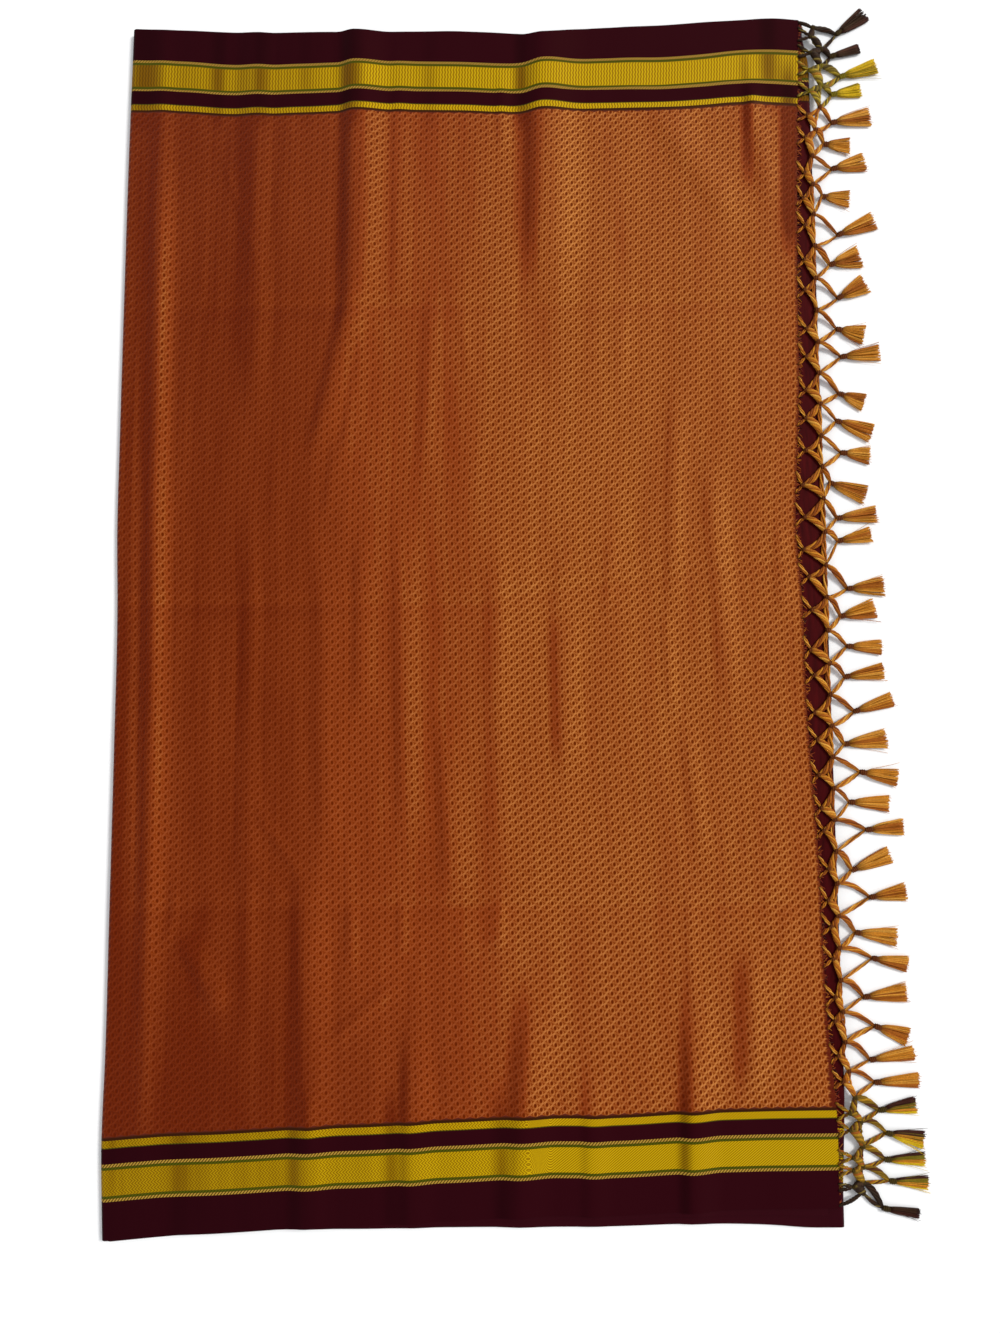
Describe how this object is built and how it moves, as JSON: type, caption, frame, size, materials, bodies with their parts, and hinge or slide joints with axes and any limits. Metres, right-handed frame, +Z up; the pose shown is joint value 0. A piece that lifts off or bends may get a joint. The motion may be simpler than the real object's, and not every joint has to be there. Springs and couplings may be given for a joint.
{
  "type": "folded dupatta stole",
  "caption": "Silk brocade dupatta stole with woven borders and a knotted tassel fringe, folded in four and lying flat.",
  "frame": {"origin": "bottom centre of the whole part's bounding box, on the surface it lies on", "axes": "+X towards the fringed end, +Y along the stole's width away from the viewer, +Z up"},
  "size_m": [0.6342, 0.9944, 0.0109],
  "materials": {
    "brocade_silk": "shot silk brocade, satin sheen",
    "crimson_silk": "plain silk, soft sheen",
    "gold_yarn": "glossy silk yarn",
    "yellow_yarn": "glossy silk yarn",
    "mixed_yarn": "glossy silk yarn",
    "maroon_yarn": "glossy silk yarn"
  },
  "bodies": {
    "root": {"pallu_layer": "brocade_silk", "under_layers": "crimson_silk", "fringe_net": "gold_yarn", "tassel_01": "maroon_yarn", "tassel_02": "maroon_yarn", "tassel_03": "yellow_yarn", "tassel_04": "yellow_yarn", "tassel_05": "gold_yarn", "tassel_06": "gold_yarn", "tassel_07": "gold_yarn", "tassel_08": "gold_yarn", "tassel_09": "gold_yarn", "tassel_10": "gold_yarn", "tassel_11": "gold_yarn", "tassel_12": "gold_yarn", "tassel_13": "gold_yarn", "tassel_14": "gold_yarn", "tassel_15": "gold_yarn", "tassel_16": "gold_yarn", "tassel_17": "gold_yarn", "tassel_18": "gold_yarn", "tassel_19": "gold_yarn", "tassel_20": "gold_yarn", "tassel_21": "gold_yarn", "tassel_22": "gold_yarn", "tassel_23": "gold_yarn", "tassel_24": "gold_yarn", "tassel_25": "gold_yarn", "tassel_26": "gold_yarn", "tassel_27": "gold_yarn", "tassel_28": "gold_yarn", "tassel_29": "gold_yarn", "tassel_30": "gold_yarn", "tassel_31": "gold_yarn", "tassel_32": "gold_yarn", "tassel_33": "gold_yarn", "tassel_34": "gold_yarn", "tassel_35": "gold_yarn", "tassel_36": "gold_yarn", "tassel_37": "mixed_yarn", "tassel_38": "mixed_yarn", "tassel_39": "mixed_yarn", "tassel_40": "mixed_yarn", "tassel_41": "maroon_yarn"}
  },
  "joints": []
}
